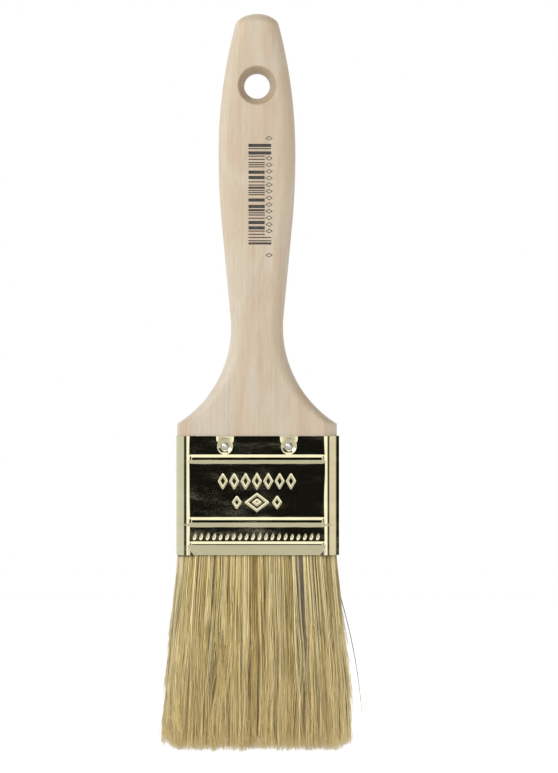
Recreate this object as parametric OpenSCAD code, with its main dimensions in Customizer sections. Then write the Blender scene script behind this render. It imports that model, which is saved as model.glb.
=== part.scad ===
// Flat paint brush, 2 inch: wooden handle, tin-plated ferrule and natural bristle.
// +Z points up the handle, X runs across the width and Y through the thickness.
// The origin is the centre of the hang hole. Lengths are in millimetres.

/* [Handle] */
// Distance from the hang hole up to the top of the handle
hole_to_top = 22.4; // [18:0.2:30]
// Distance from the hang hole down to the widest point of the grip
hole_to_swell = 20.9; // [16:0.5:30]
// Distance from the hang hole down to the narrowest point of the neck
hole_to_neck = 74.5; // [68:0.5:85]
// Distance from the hang hole down to the corner of the shoulder
hole_to_shoulder = 104.4; // [100:0.2:106]
// Width of the grip at its widest point
swell_w = 23.8; // [22:0.2:26]
// Width of the neck
neck_w = 16.1; // [14:0.1:18]
// Width of the shoulder, which is also the width of the butt in the ferrule
shoulder_w = 49.4; // [44:0.2:54]
// Thickness of the handle
handle_t = 10; // [9:0.5:12]
// Radius that rounds the long edges of the handle
handle_edge_r = 4; // [2:0.25:4.25]
// Radius of the outline between the swell and the top
upper_swell_r = 156; // [140:5:220]
// Angle of the straight taper between the swell and the neck, in degrees
taper_angle = 5.4; // [5.2:0.1:6]
// Height of the dome that rounds the top of the handle
dome_h = 3.4; // [2:0.2:6]
// Length of the butt inside the ferrule
butt_l = 12; // [10:0.5:13]

/* [Hang hole] */
// Diameter of the hang hole
hang_hole_d = 7.94; // [6:0.02:9]
// Diameter of the countersink at the face of the handle
countersink_d = 12; // [10:0.5:13]
// Depth of the countersink
countersink_depth = 3; // [1:0.25:4]

/* [Ferrule] */
// Distance from the hang hole down to the top edge of the ferrule
hole_to_ferrule = 108.2; // [107:0.2:110]
// Height of the ferrule
ferrule_h = 36.7; // [35:0.1:40]
// Thickness of the ferrule's sheet
sheet_t = 0.3; // [0.25:0.05:0.4]
// Gap between the handle and the inside of the ferrule
ferrule_gap = 0.1; // [0.05:0.05:0.2]
// Height of one rolled bead
bead_h = 2.9; // [2.4:0.1:3.2]
// How far a bead stands proud of the sheet
bead_proud = 0.35; // [0.2:0.05:0.5]
// Depths of the three beads below the ferrule's top edge
bead_depths = [7, 26.3, 33.4];
// Height of the lip that tapers in at the mouth
lip_h = 3.3; // [2.5:0.1:4]
// How far the lip tapers in on each face
lip_inset = 0.5; // [0.2:0.1:0.6]
// Width of the lapped seam on the side
seam_w = 6.4; // [3:0.2:7]
// How far the lapped seam stands proud of the side
seam_proud = 0.45; // [0.3:0.05:0.7]

/* [Nails] */
// Distance between the two nails on a face
nail_spacing = 19.7; // [16:0.1:30]
// Depth of the nails below the ferrule's top edge
nail_depth = 3.1; // [3:0.1:3.4]
// Diameter of a nail's shank
nail_d = 1.3; // [1:0.1:1.6]
// Length of a nail's shank from under its head
nail_l = 3.4; // [3:0.1:3.6]
// Diameter of a nail's head
nail_head_d = 2.5; // [2.2:0.1:2.8]
// Height of the dome of a nail's head
nail_head_h = 0.6; // [0.4:0.1:0.8]
// Diameter of the punched dimple that holds a nail's head
dimple_d = 4.5; // [4:0.1:5]
// Depth of the dimple
dimple_depth = 0.6; // [0.4:0.1:0.8]

/* [Bristle setting] */
// Gap between the end of the butt and the resin
resin_gap = 0.8; // [0.4:0.1:1.5]
// Height of the resin block
resin_h = 10; // [8:0.5:12]
// How deep the bristle and the plug are set in the resin
set_depth = 7; // [4:0.5:8]
// Width of the spacer plug
plug_w = 43; // [38:0.5:44]
// Thickness of the spacer plug
plug_t = 2.4; // [2:0.1:3]
// Height of the spacer plug
plug_h = 15; // [12:0.5:16]
// Width of a row of bristle where it is set in the resin
roots_w = 45; // [40:0.5:46]
// How far inside the mouth the fixed roots end
roots_inset = 1.4; // [1:0.1:2]

/* [Bristle] */
// Length of bristle that shows below the ferrule
bristle_l = 60.2; // [45:0.2:65]
// Distance from the mouth down to the line where the bristle bends
flex_drop = 2.5; // [2:0.1:3]
// Radius of the rounded head of a tuft, about the bending line
tuft_head_r = 4.7; // [4:0.1:4.8]
// Width of the tufts just below the mouth
tuft_top_w = 48.8; // [44:0.2:49]
// Width of the tufts near the tips
tuft_tip_w = 57.4; // [50:0.2:60]
// Thickness of both tufts together near the tips
tuft_tip_t = 13; // [10:0.5:15]
// Radius that rounds the corners of the tips
tip_corner_r = 4; // [1:0.5:6]
// Clear distance kept between moving and fixed solids
flex_clearance = 0.3; // [0.2:0.05:0.5]

/* [Hidden] */
$fn = 96;

// Heights of the handle's outline
top_z = hole_to_top;
swell_z = -hole_to_swell;
neck_z = -hole_to_neck;
shoulder_z = -hole_to_shoulder;
ferrule_top_z = -hole_to_ferrule;
butt_end_z = ferrule_top_z - butt_l;

// Arcs of the handle's outline: the flare runs from the neck to the shoulder, and the lower swell
// runs from the widest point into a straight taper that meets the flare's arc.
flare_rise = (shoulder_w - neck_w) / 2;
flare_run = neck_z - shoulder_z;
flare_r = (flare_rise * flare_rise + flare_run * flare_run) / (2 * flare_rise);
taper_cos = cos(taper_angle);
grip_rise = (swell_w - neck_w) / 2;
grip_run = swell_z - neck_z;
lower_swell_r = (grip_run * tan(taper_angle) - grip_rise) * taper_cos / (1 - taper_cos) - flare_r;
taper_top_z = swell_z - lower_swell_r * sin(taper_angle);
taper_bottom_z = neck_z + flare_r * sin(taper_angle);

// Steps of the handle's skin
corner_steps = 8;
dome_steps = 8;
dome_last_angle = 89;
grip_step = 4;
flare_step = 1.6;

// Largest share of the half thickness that the round edges take up in the dome
dome_edge_share = 0.8;

// Sections of the ferrule
ferrule_bottom_z = ferrule_top_z - ferrule_h;
inner_w = shoulder_w + 2 * ferrule_gap;
inner_t = handle_t + 2 * ferrule_gap;
inner_r = handle_edge_r + ferrule_gap;
bead_r = (bead_h * bead_h / 4 + bead_proud * bead_proud) / (2 * bead_proud);
nail_z = ferrule_top_z - nail_depth;
nail_head_gap = 0.1;
dimple_floor_r = nail_head_d / 2 + nail_head_gap;

// Heights of the bristle's setting
resin_top_z = butt_end_z - resin_gap;
resin_bottom_z = resin_top_z - resin_h;
set_top_z = resin_bottom_z + set_depth;
roots_bottom_z = ferrule_bottom_z + roots_inset;

// The bending line and the tufts
flex_z = ferrule_bottom_z - flex_drop;
tip_z = ferrule_bottom_z - bristle_l;
tuft_head_margin = 1.2;
tuft_head_w = tuft_top_w - 2 * tuft_head_margin;
tuft_split = 0.3;
tuft_shoulder_drop = 0.5;

// Room that a cut needs to pass cleanly through a face
cut = 1;

// Reach from the middle that is beyond every side of the ferrule and the tufts
beyond = 40;

// ---------------------------------------------------------------- shared shapes

// Rounded rectangle of the ferrule, grown evenly by a distance from its inner wall.
module ferrule_outline(grow) {
    r = inner_r + grow;
    corner_x = inner_w / 2 - inner_r;
    corner_y = inner_t / 2 - inner_r;
    square([2 * corner_x, inner_t + 2 * grow], center = true);
    square([inner_w + 2 * grow, 2 * corner_y], center = true);
    for (x = [-corner_x, corner_x], y = [-corner_y, corner_y])
        translate([x, y])
            circle(r = r);
}

// Straight block with the ferrule's section between two heights.
module ferrule_block(grow, low_z, high_z) {
    translate([0, 0, low_z])
        linear_extrude(high_z - low_z)
            ferrule_outline(grow);
}

// Side profile of the ferrule, swept along X: straight faces, then the lip that tapers in at the mouth.
module lip_profile(grow, low_z, high_z) {
    half_t = inner_t / 2 + grow;
    lip_top_z = ferrule_bottom_z + lip_h;
    slope = lip_inset / lip_h;
    low_t = half_t - lip_inset - slope * (ferrule_bottom_z - low_z);
    rotate([90, 0, 90])
        linear_extrude(2 * beyond, center = true)
            polygon([
                [-low_t, low_z], [low_t, low_z],
                [half_t, lip_top_z], [half_t, high_z],
                [-half_t, high_z], [-half_t, lip_top_z]
            ]);
}

// Solid that fills the ferrule's outline, with the lip's taper on its two faces.
module ferrule_body(grow, low_z, high_z) {
    intersection() {
        ferrule_block(grow, low_z, high_z);
        lip_profile(grow, low_z, high_z);
    }
}

// Cylinder along the bending line of the bristle.
module flex_cylinder(r, length) {
    translate([0, 0, flex_z])
        rotate([0, 90, 0])
            cylinder(r = r, h = length, center = true);
}

// Half space in front (side = -1) or behind (side = 1), kept a distance from the middle plane.
module half_space(side, from_middle) {
    translate([0, side * (from_middle + beyond / 2), (ferrule_top_z + tip_z) / 2])
        cube([2 * beyond, beyond, 4 * beyond], center = true);
}

// Places a child on a nail's axis, with +Z pointing out of the face.
module at_nail(x_side, y_side) {
    translate([x_side * nail_spacing / 2, y_side * (inner_t / 2 + sheet_t), nail_z])
        rotate([-90 * y_side, 0, 0])
            children();
}

// Places its children at all four nails.
module at_every_nail() {
    for (x_side = [-1, 1], y_side = [-1, 1])
        at_nail(x_side, y_side)
            children();
}

// ---------------------------------------------------------------- handle

// Distance that an arc has fallen from its crest, at a distance along the crest's tangent.
function arc_drop(r, d) = r - sqrt(r * r - d * d);

// Half width of the handle at a height, without the dome at its top.
function outline_half_w(z) =
    z > swell_z ? swell_w / 2 - arc_drop(upper_swell_r, z - swell_z)
    : z > taper_top_z ? swell_w / 2 - arc_drop(lower_swell_r, swell_z - z)
    : z > taper_bottom_z ?
        neck_w / 2 + arc_drop(flare_r, taper_bottom_z - neck_z) + (z - taper_bottom_z) * tan(taper_angle)
    : z > shoulder_z ? neck_w / 2 + arc_drop(flare_r, abs(z - neck_z))
    : shoulder_w / 2;

// Share of the full section that is left at a height inside the dome.
function dome_share(z) =
    z < top_z - dome_h ? 1 : sqrt(1 - pow((z - top_z + dome_h) / dome_h, 2));

// Heights of the sections, from the butt up to the top.
dome_zs = [for (i = [1 : dome_steps]) top_z - dome_h * (1 - sin(dome_last_angle * i / dome_steps))];
section_zs = concat(
    [butt_end_z],
    [for (z = [shoulder_z : flare_step : neck_z]) z],
    [for (z = [neck_z + grip_step : grip_step : top_z - dome_h - grip_step / 4]) z],
    [top_z - dome_h],
    dome_zs
);

// One rounded section of the handle at a height.
function handle_section(z) =
    let (
        share = dome_share(z),
        half_w = outline_half_w(z) * share,
        half_t = handle_t / 2 * share,
        r = min(handle_edge_r, dome_edge_share * half_t)
    )
    [for (corner = [0 : 3], i = [0 : corner_steps])
        let (
            a = 90 * (corner + i / corner_steps),
            x_side = corner == 0 || corner == 3 ? 1 : -1,
            y_side = corner < 2 ? 1 : -1
        )
        [x_side * (half_w - r) + r * cos(a), y_side * (half_t - r) + r * sin(a), z]];

// Skin through a list of sections that all have the same number of points.
module loft(sections) {
    n = len(sections[0]);
    last = len(sections) - 1;
    points = [for (section = sections, p = section) p];
    sides = [for (k = [0 : last - 1], i = [0 : n - 1])
        let (j = (i + 1) % n)
        [k * n + i, (k + 1) * n + i, (k + 1) * n + j, k * n + j]];
    bottom = [for (i = [0 : n - 1]) i];
    top = [for (i = [n - 1 : -1 : 0]) last * n + i];
    polyhedron(points, concat(sides, [bottom, top]), convexity = 6);
}

// Hang hole with a countersink on both faces.
module hang_hole() {
    rotate([90, 0, 0])
        cylinder(d = hang_hole_d, h = handle_t + 2 * cut, center = true);
    spread = (countersink_d - hang_hole_d) / 2 / countersink_depth;
    for (side = [-1, 1])
        translate([0, side * (handle_t / 2 - countersink_depth), 0])
            rotate([-90 * side, 0, 0])
                cylinder(
                    r1 = hang_hole_d / 2,
                    r2 = countersink_d / 2 + spread * cut,
                    h = countersink_depth + cut
                );
}

module handle() {
    color("wheat")
        difference() {
            loft([for (z = section_zs) handle_section(z)]);
            hang_hole();
            at_every_nail() {
                nail_shank();
                dimple(sheet_t);
            }
        }
}

// ---------------------------------------------------------------- ferrule

// Conical dimple pressed into a face, sunk by an extra depth for the sheet's thickness.
module dimple(sunk) {
    spread = (dimple_d / 2 - dimple_floor_r) / dimple_depth;
    translate([0, 0, -dimple_depth - sunk])
        cylinder(
            r1 = dimple_floor_r,
            r2 = dimple_d / 2 + spread * (cut + sunk),
            h = dimple_depth + cut + 2 * sunk
        );
}

// Sheet of one dimple: its outer skin, which the dimple itself is then cut from.
module dimple_sheet() {
    intersection() {
        dimple(sheet_t);
        translate([0, 0, -dimple_depth - 2 * sheet_t])
            cylinder(d = dimple_d + 2 * sheet_t, h = dimple_depth + 2 * sheet_t);
    }
}

// Half of a bead's round section: X is the distance out from the ferrule's inner wall.
module bead_profile() {
    intersection() {
        translate([sheet_t + bead_proud - bead_r, 0])
            circle(r = bead_r);
        translate([0, -bead_h])
            square([bead_h, 2 * bead_h]);
    }
}

// One bead at a height, bent round the ferrule's outline: four straight runs and four corners.
module bead(z) {
    corner_x = inner_w / 2 - inner_r;
    corner_y = inner_t / 2 - inner_r;
    for (quarter = [0 : 3]) {
        on_side = quarter % 2 == 0;
        from_middle = on_side ? inner_w / 2 : inner_t / 2;
        run = on_side ? corner_y : corner_x;
        translate([0, 0, z])
            rotate([0, 0, 90 * quarter]) {
                translate([from_middle, run, 0])
                    rotate([90, 0, 0])
                        linear_extrude(2 * run)
                            bead_profile();
                translate([from_middle - inner_r, run, 0])
                    rotate_extrude(angle = 90)
                        translate([inner_r, 0])
                            bead_profile();
            }
    }
}

// Lapped seam on the +X side: a flat strip, whose part inside the ferrule's wall is cut away later.
module seam() {
    root_x = inner_w / 2 - inner_r / 2;
    translate([root_x, -seam_w / 2, ferrule_bottom_z])
        cube([inner_w / 2 + sheet_t + seam_proud - root_x, seam_w, ferrule_h]);
}

module ferrule() {
    color("darkkhaki")
        difference() {
            union() {
                difference() {
                    union() {
                        ferrule_body(sheet_t, ferrule_bottom_z, ferrule_top_z);
                        for (depth = bead_depths)
                            bead(ferrule_top_z - depth);
                        seam();
                    }
                    ferrule_body(0, ferrule_bottom_z - cut, ferrule_top_z + cut);
                }
                at_every_nail()
                    dimple_sheet();
            }
            at_every_nail() {
                dimple(0);
                nail_shank();
            }
        }
}

// ---------------------------------------------------------------- nails

// Shank below the head. The head sits on the dimple's floor.
module nail_shank() {
    translate([0, 0, -dimple_depth - nail_l])
        cylinder(d = nail_d, h = nail_l);
}

// Nail with a domed head.
module nail(x_side, y_side) {
    head_r = nail_head_d / 2;
    dome_r = (head_r * head_r + nail_head_h * nail_head_h) / (2 * nail_head_h);
    color("silver")
        at_nail(x_side, y_side) {
            nail_shank();
            translate([0, 0, -dimple_depth])
                intersection() {
                    cylinder(r = head_r, h = nail_head_h);
                    translate([0, 0, nail_head_h - dome_r])
                        sphere(r = dome_r);
                }
        }
}

// ---------------------------------------------------------------- bristle setting

// One of the two rows of bristle inside the ferrule, on either side of the plug.
module bristle_row(side, low_z, high_z) {
    intersection() {
        translate([0, 0, low_z])
            linear_extrude(high_z - low_z)
                intersection() {
                    ferrule_outline(0);
                    square([roots_w, inner_t], center = true);
                }
        half_space(side, plug_t / 2);
    }
}

// The spacer plug's section between two heights.
module plug_block(low_z, high_z) {
    translate([-plug_w / 2, -plug_t / 2, low_z])
        cube([plug_w, plug_t, high_z - low_z]);
}

// Resin that fills the ferrule below the butt, cut where the bristle and the plug are set in it.
module epoxy_set() {
    color("peru")
        difference() {
            ferrule_block(0, resin_bottom_z, resin_top_z);
            bristle_row(-1, resin_bottom_z - cut, set_top_z);
            bristle_row(1, resin_bottom_z - cut, set_top_z);
            plug_block(resin_bottom_z - cut, set_top_z);
        }
}

module spacer_plug() {
    color("tan")
        plug_block(set_top_z - plug_h, set_top_z);
}

// ---------------------------------------------------------------- bristle

// Bristle that stays put inside the ferrule, cut clear of the tufts' heads.
module bristle_roots(side) {
    color("khaki")
        difference() {
            intersection() {
                bristle_row(side, roots_bottom_z, set_top_z);
                ferrule_body(0, roots_bottom_z, set_top_z);
            }
            flex_cylinder(tuft_head_r + flex_clearance, inner_w);
        }
}

// Front outline of the tufts below their heads, swept through the thickness.
module tuft_width_profile() {
    shoulder_drop_z = flex_z - tuft_shoulder_drop;
    corner_z = tip_z + tip_corner_r;
    rotate([90, 0, 0])
        linear_extrude(2 * beyond, center = true) {
            polygon([
                [-tuft_top_w / 2, shoulder_drop_z], [-tuft_tip_w / 2, corner_z],
                [tip_corner_r - tuft_tip_w / 2, tip_z], [tuft_tip_w / 2 - tip_corner_r, tip_z],
                [tuft_tip_w / 2, corner_z], [tuft_top_w / 2, shoulder_drop_z]
            ]);
            translate([0, flex_z])
                square([tuft_head_w, 4 * tuft_head_r], center = true);
        }
}

// Side outline of the tufts, swept across the width.
module tuft_side_profile() {
    rotate([90, 0, 90])
        linear_extrude(tuft_tip_w, center = true)
            polygon([
                [-tuft_head_r, flex_z], [-tuft_tip_t / 2, tip_z],
                [tuft_tip_t / 2, tip_z], [tuft_head_r, flex_z]
            ]);
}

// Moving half of the visible bristle, with a head that is rounded about the bending line.
module tuft(side) {
    color("burlywood")
        intersection() {
            tuft_width_profile();
            union() {
                tuft_side_profile();
                flex_cylinder(tuft_head_r, tuft_head_w);
            }
            half_space(side, tuft_split / 2);
        }
}

// ---------------------------------------------------------------- nodes

handle();
ferrule();
nail(-1, -1);  // nail_front_left
nail(1, -1);  // nail_front_right
nail(-1, 1);  // nail_back_left
nail(1, 1);  // nail_back_right
epoxy_set();
spacer_plug();
bristle_roots(-1);  // bristle_roots_front
bristle_roots(1);  // bristle_roots_back
tuft(-1);  // tuft_front
tuft(1);  // tuft_back
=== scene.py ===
import math

import bpy
import numpy as np
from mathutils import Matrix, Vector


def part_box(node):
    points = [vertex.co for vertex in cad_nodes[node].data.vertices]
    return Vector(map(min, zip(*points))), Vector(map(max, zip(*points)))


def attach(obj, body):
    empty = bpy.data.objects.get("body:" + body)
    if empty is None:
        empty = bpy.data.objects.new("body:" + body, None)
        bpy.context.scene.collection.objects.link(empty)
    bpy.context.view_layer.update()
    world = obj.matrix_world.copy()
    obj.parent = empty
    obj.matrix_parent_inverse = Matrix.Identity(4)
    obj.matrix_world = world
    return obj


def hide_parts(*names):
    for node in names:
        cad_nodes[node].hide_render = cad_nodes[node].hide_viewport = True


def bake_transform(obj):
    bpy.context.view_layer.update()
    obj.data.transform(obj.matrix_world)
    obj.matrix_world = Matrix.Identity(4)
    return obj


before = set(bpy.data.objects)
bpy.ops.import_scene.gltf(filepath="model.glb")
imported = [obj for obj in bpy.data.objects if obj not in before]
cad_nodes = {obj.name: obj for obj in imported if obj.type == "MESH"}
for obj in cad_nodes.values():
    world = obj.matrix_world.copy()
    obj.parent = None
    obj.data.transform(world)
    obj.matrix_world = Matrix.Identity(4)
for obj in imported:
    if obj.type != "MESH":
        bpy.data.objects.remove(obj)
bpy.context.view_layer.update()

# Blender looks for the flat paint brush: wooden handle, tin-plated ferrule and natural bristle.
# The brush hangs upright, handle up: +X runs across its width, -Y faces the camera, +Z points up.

MM = 0.001
SEED = 20

# ------------------------ sizes, in millimetres

# Heights and half sizes that the CAD nodes give
FERRULE_LOW, FERRULE_HIGH = (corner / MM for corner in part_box("ferrule"))
HANDLE_LOW, HANDLE_HIGH = (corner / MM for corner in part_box("handle"))
TUFT_LOW, TUFT_HIGH = (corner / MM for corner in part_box("tuft_front"))
HANDLE_TOP_Z = HANDLE_HIGH.z
BUTT_END_Z = HANDLE_LOW.z
HANDLE_HALF_T = HANDLE_HIGH.y
SHOULDER_HALF_W = HANDLE_HIGH.x
FERRULE_TOP_Z = FERRULE_HIGH.z
MOUTH_Z = FERRULE_LOW.z
TIP_Z = TUFT_LOW.z

# Outline of the handle: the same arcs as its CAD node
SWELL_Z = -20.9
NECK_Z = -74.5
SHOULDER_Z = -104.4
SWELL_HALF_W = 11.9
NECK_HALF_W = 8.05
UPPER_SWELL_R = 156.0
TAPER_ANGLE = math.radians(5.4)
DOME_H = 3.4
HANDLE_EDGE_R = 4.0
THIN_EDGE_SHARE = 0.8
GRIP_CROWN = 0.15
SHOULDER_CROWN = 0.02

# How finely the handle is divided
FACE_POINTS = 15
EDGE_POINTS = 13
DOME_ANGLES = (4.0, 89.5)
DOME_ROWS = 20
GRIP_STEP = 1.0
FLARE_STEP = 0.6
SHOULDER_DROPS = (1.5, 0.15)
LATHE_STEPS = 96

# Hang hole: its softened rim starts inside the countersink and runs out past the face
HOLE_R = 3.97
COUNTERSINK_R = 6.0
COUNTERSINK_DEPTH = 3.0
RIM_SOFT = 0.35
RIM_DROP = 0.08
RIM_FLARE = 0.6
RIM_RISE = 0.12
CUT_PAST_FACE = 1.0
# Within this reach of the hole's middle the wood takes the hole's colour: the browner bare cut, with
# painted shade in the recess
HOLE_TONE_FROM = COUNTERSINK_R - 0.1
HOLE_TONE_TO = COUNTERSINK_R + 0.15

# Ferrule: the same section, dimples and nails as its CAD node
SHEET_T = 0.3
FERRULE_GAP = 0.1
FERRULE_HALF_W = SHOULDER_HALF_W + FERRULE_GAP + SHEET_T
FERRULE_HALF_T = HANDLE_HALF_T + FERRULE_GAP + SHEET_T
FERRULE_R = HANDLE_EDGE_R + FERRULE_GAP + SHEET_T
NAIL_X = 9.85
NAIL_Z = FERRULE_TOP_Z - 3.1
DIMPLE_R = 2.25
DIMPLE_FLOOR_R = 1.35
DIMPLE_DEPTH = 0.6

# Dents that the dimples press into the wood
DENT_SPREAD = 0.3
DENT_RISE = 0.2
DENT_GAP = 0.05

# Ferrule: how its lip turns in at the mouth, and how its rim is pulled in above the nails
LIP_INSET = 0.5
LIP_END_X = 20.7
LIP_END_SLOPE = 0.31
RIM_PULL = 0.13
RIM_PULL_START_Z = NAIL_Z + 1.0
RIM_PULL_FULL = 2.1
RIM_PULL_END = 2.7

# Ferrule: its lapped seam, and the waves of its sheet, which turn by radians per millimetre
SEAM_HALF_W = 3.2
SEAM_PROUD = 0.3
SEAM_CHAMFER = 0.08
SEAM_ROOT = 1.0
WAVE_H = 0.018
WAVE_TURNS = (0.31, 0.23)
WAVE_STARTS = (0.9, 0.4)
FINE_WAVE_H = 0.008
FINE_WAVE_TURNS = (0.83, 0.37)

# How finely the ferrule's sheet is divided
FRONT_COLUMNS = 270
BACK_COLUMNS = 120
CORNER_COLUMNS = 20
SIDE_COLUMNS = 4
INNER_STEP = 0.5
INNER_MARGIN = 0.2
FINE_MARGIN = 0.4

# Beads: (height of the crest, run of the upper flank, run of the lower flank), then how proud they stand
BEAD_1 = (FERRULE_TOP_Z - 6.95, 1.25, 1.5)
BEAD_2 = (FERRULE_TOP_Z - 26.25, 1.25, 1.75)
LIP_CREST_Z = MOUTH_Z + 3.05
LIP_UPPER_RUN = 1.2
BEAD_PROUD = 0.26
BEAD_PROUD_SIDE = 0.02
BEAD_CREST_HALF = 0.42
BEAD_FULL_X = 20.1
BEAD_END_X = 20.9

# Knurled band of slanted dents
KNURL_Z = FERRULE_TOP_Z - 30.5
KNURL_PITCH = 2.0
KNURL_HALF_H = 1.6
KNURL_SLANT = 0.45
KNURL_TOP_HALF_W = 0.22
KNURL_FOOT_HALF_W = 0.48
KNURL_FOOT_SHARE = 0.16
KNURL_FOOT_POINT = 0.3
KNURL_DEPTH = 0.1
KNURL_REACH = 19.5

# Embossed ornament of lozenges, which stands where such brushes carry their size
LOZENGE_ROW_Z = FERRULE_TOP_Z - 13.9
LOZENGE_PITCH = 3.5
LOZENGE_COUNT = 7
LOZENGE_HALF = (1.15, 2.0)
CENTRE_LOZENGE_Z = FERRULE_TOP_Z - 20.4
CENTRE_LOZENGE_HALF = (3.3, 2.5)
CENTRE_LOZENGE_SHARES = (1.0, 0.3)
SIDE_LOZENGE_X = 6.2
SIDE_LOZENGE_HALF = (1.1, 1.6)
EMBOSS_LINE = 0.24
EMBOSS_CREST = 0.06
EMBOSS_H = 0.09

# Bristle: one hair
HAIR_RINGS = 12
HAIR_SIDES = 3
HAIR_ROOT_R = 0.11
HAIR_R_SHARES = (0.6, 1.4)
HAIR_TAPER_FROM = 0.35
HAIR_TIP_SHARE = 0.6
HAIR_END_SHARE = 0.3
HAIR_INSIDE = 1.6
HAIR_UV_COLUMNS = 256
HAIR_UV_MARGINS = (0.2, 0.04)

# Bristle: the bundle, with its full density in a rind round its edge
HAIR_COUNT = 7600
ROOT_TRIES = 8 * HAIR_COUNT
MOUTH_HALF_W = 24.4
MOUTH_HALF_T = 4.45
MOUTH_CORNER_R = 3.6
RIND = 1.3
INNER_DENSITY = 0.4
TIPS_PAST_TUFT = 0.1
TIP_HALF_W = TUFT_HIGH.x + TIPS_PAST_TUFT
TIP_HALF_T = -TUFT_LOW.y
FREE_LENGTH = MOUTH_Z - TIP_Z
OPEN_BY = 0.95
OPEN_EARLY = 0.45

# Lengths of the hairs
LONGEST_PAST_TIP = 0.9
CORNER_DROP = 2.2
CORNER_FROM = 0.84
RAGGED = 0.3
RAGGED_TAIL = 0.4
RAGGED_LOCK = 1.3
STRAGGLER_SHARE = 0.1
STRAGGLER_SHORT = (2.0, 20.0)

# How hairs gather into tufts and locks, and wave
TUFT_COUNT = 70
TUFT_BLUR = 0.9
TUFT_PULL = (0.1, 0.4)
LOCK_COUNT = 380
LOCK_BLUR = 0.35
LOCK_PULL = (0.25, 0.9)
HAIR_PULL = (0.6, 1.0)
GATHER_FROM, GATHER_BY = 0.05, 0.9
TIP_GATHER = 0.5
TIP_GATHER_FROM = 0.86
LOCK_WAVE = ((30.0, 80.0), 0.6)
HAIR_WAVE = ((22.0, 60.0), 0.26)
HAIR_BEND = 0.55

# Tones of the hairs, from 0 (darkest) to 1: pairs are (middle, spread) or (lowest, highest)
TONE = (0.62, 0.23)
LOCK_TONE_SPREAD = 0.12
BROWN_SHARE = 0.14
BROWN_TONE = (0.0, 0.3)
PALE_SHARE = 0.16
PALE_TONE = (0.9, 1.0)
# Painted shade between the hairs: hairs deep inside the bundle get a lower tone, from the first depth to
# the second, by the next share
INNER_SHADE_DEPTH = (0.4, 1.5)
INNER_SHADE = 0.45
GREYNESS = (0.04, 0.08)
# Painted light: the bundle's side edges are paler and greyer, as thin hairs lit through, the right edge
# at a share of the left
PALE_EDGE_X = (18.5, 23.0)
PALE_EDGE_TONE = 0.3
PALE_EDGE_GREYNESS = 0.25
RIGHT_EDGE_SHARE = 0.5

# Smoky streaks, as (x, half width) pairs, which are fainter on the back
DARK_STREAKS = ((-12.7, 0.65), (13.2, 1.2), (17.2, 0.45))
STREAK_CHANCE = 0.62
STREAK_BACK_SHARE = 0.45
STREAK_GREYNESS = (0.7, 1.0)
STREAK_TONE = (0.05, 0.75)

# Stray hairs at the sides, and the long one on the right
STRAY_COUNT = 300
STRAY_LEAVES = (12.0, 50.0)
STRAY_FREE = (6.0, 18.0)
STRAY_LONGEST = FREE_LENGTH - 1.0
STRAY_HIDDEN = 8.0
STRAY_SUNK = 0.2
STRAY_LEAN = 0.55
STRAY_LEAST_LEAN = 0.1
STRAY_CURVE = 1.3
STRAY_HALF_T = 3.5
STRAY_DRIFT = 1.0
STRAY_TONE = (0.6, 1.0)
STRAY_GREYNESS = (0.3, 0.9)
STRAY_R = (0.05, 0.09)
LONG_STRAY_X = 25.0
LONG_STRAY_SLOPE = 0.31
LONG_STRAY_BOW = 0.003
LONG_STRAY_LEAVES = 10.5
LONG_STRAY_ENDS = 51.0
LONG_STRAY_R = 0.2
LONG_STRAY_TONE = 0.6

# Printed stripes on the grip
STRIPE_TOP_Z = -18.1
STRIPE_UNIT = 0.33
STRIPE_LEFT_X = -2.6
STRIPE_RIGHT_X = 2.4
LONG_STRIPE_RIGHT_X = 4.4
STRIPE_WIDTHS = (1, 1, 1, 1, 2, 3)
STRIPE_GAPS = (1, 1, 2, 2, 3)
STRIPE_BLOCK_H = 31.3
STRIPE_GUARD_H = 3.4
STRIPE_STEPS = 6
INK_PROUD = 0.012
INK_SUNK = 0.05

# Column of small lozenges beside the stripes, with one more past each end
CHECK_X = 3.75
CHECK_HALF = (1.1, 0.75)
CHECK_LINE = 0.26
CHECK_COUNT = 12
CHECK_END_DROPS = (-1.7, 34.3)

# Camera, floor and key light: the light's place and size, and the camera's farthest sight, are in metres
CAMERA_DISTANCE = 1150.0
CAMERA_X = 6.8
CAMERA_Z = -92.9
VIEW_HEIGHT = 239.3
FARTHEST_SIGHT = 20.0
FLOOR_DROP = 40.0
FLOOR_R = 1500.0
FLOOR_CORNERS = 96
KEY_POWER = 5.0
KEY_PLACE = (-0.8, -0.6, 0.5)
KEY_SIZE = (0.5, 0.7)
KEY_COLOUR = (1.0, 0.985, 0.96)

# Light tent: its panels, bars and walls are in degrees round from the front, its ceiling in degrees up
TENT_LEVEL = 2.5
TENT_LEFT_COLOUR = (0.88, 0.95, 1.0)
TENT_RIGHT_COLOUR = (1.0, 0.98, 0.95)
PANEL_FADE = (24.0, 31.0)
BAR_SHARE = 0.03
BAR_ENDS = (46.0, 40.0)
BAR_CHANGE_X = 0.1
WALL_FADE = 8.0
WALL_SHARE = 0.6
CEILING_FADE = (50.0, 66.0)
CEILING_SHARE = 0.15
FLAG_FADE = (0.12, 0.3)
FLAG_SHARE = 0.15
PORT_HALF = (5.5, 7.5)
PORT_DROP = 1.7
PORT_FADE = (0.45, 1.7)
PORT_SHARE = 0.006


# ------------------------ mesh helpers


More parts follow.
